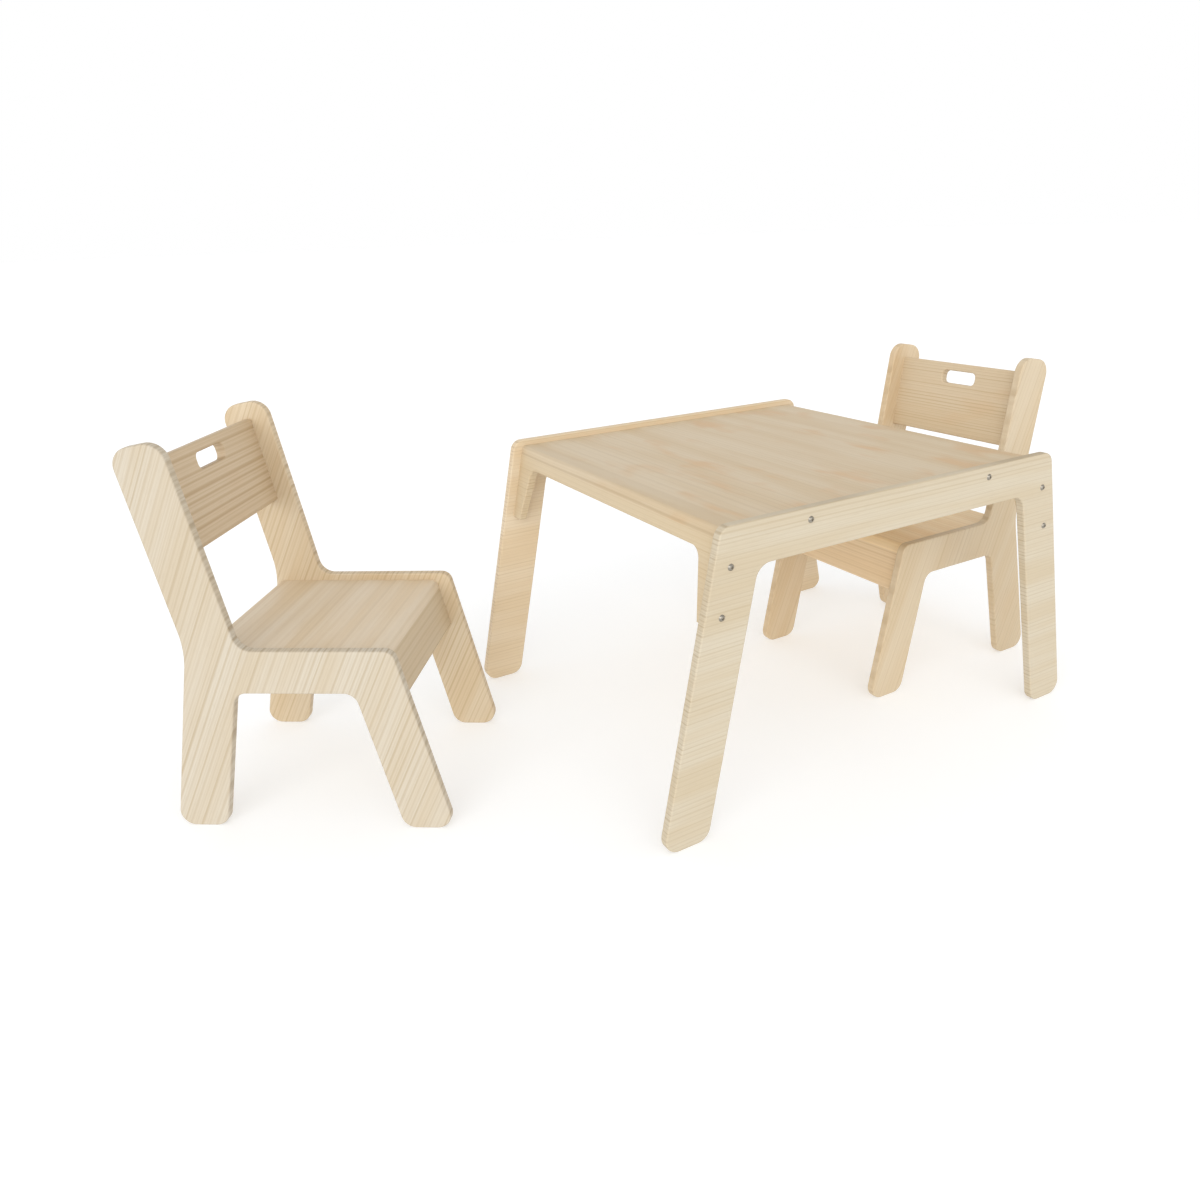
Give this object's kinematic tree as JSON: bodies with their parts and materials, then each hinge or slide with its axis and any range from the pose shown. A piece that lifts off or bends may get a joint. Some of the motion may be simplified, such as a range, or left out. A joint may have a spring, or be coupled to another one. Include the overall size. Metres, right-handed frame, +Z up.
{
  "type": "kids table and chairs",
  "caption": "Low children's table with matching chairs, made of pale solid-wood boards with rounded splayed legs.",
  "frame": {"origin": "on the floor under the middle of the whole set's bounding box", "axes": "+X along the table's sides from the angled chair towards the tucked-in chair, +Y across the table from its front side to its back side, +Z up"},
  "size_m": [1.5186, 0.725, 0.5791],
  "materials": {
    "board_wood": "pale solid wood with a matt clear finish",
    "dowel_wood": "raw beech",
    "screw_steel": "dark zinc-plated"
  },
  "bodies": {
    "table": {"table_side_front": "board_wood", "table_side_back": "board_wood", "table_top": "board_wood", "table_apron_left": "board_wood", "table_apron_right": "board_wood", "table_screws": "screw_steel", "table_dowels": "dowel_wood"},
    "left_chair": {"left_chair_left_side": "board_wood", "left_chair_right_side": "board_wood", "left_chair_seat": "board_wood", "left_chair_front_apron": "board_wood", "left_chair_backrest": "board_wood", "left_chair_side_dowels": "dowel_wood", "left_chair_apron_dowels": "dowel_wood"},
    "right_chair": {"right_chair_left_side": "board_wood", "right_chair_right_side": "board_wood", "right_chair_seat": "board_wood", "right_chair_front_apron": "board_wood", "right_chair_backrest": "board_wood", "right_chair_side_dowels": "dowel_wood", "right_chair_apron_dowels": "dowel_wood"}
  },
  "joints": [
    {"name": "left_chair_slide", "type": "slide", "parent": "table", "child": "left_chair", "axis": [0.8192, -0.5736, 0], "range_m": [-0.15, 0.25]},
    {"name": "right_chair_slide", "type": "slide", "parent": "table", "child": "right_chair", "axis": [-1, 0, 0], "range_m": [-0.3, 0.08]}
  ]
}
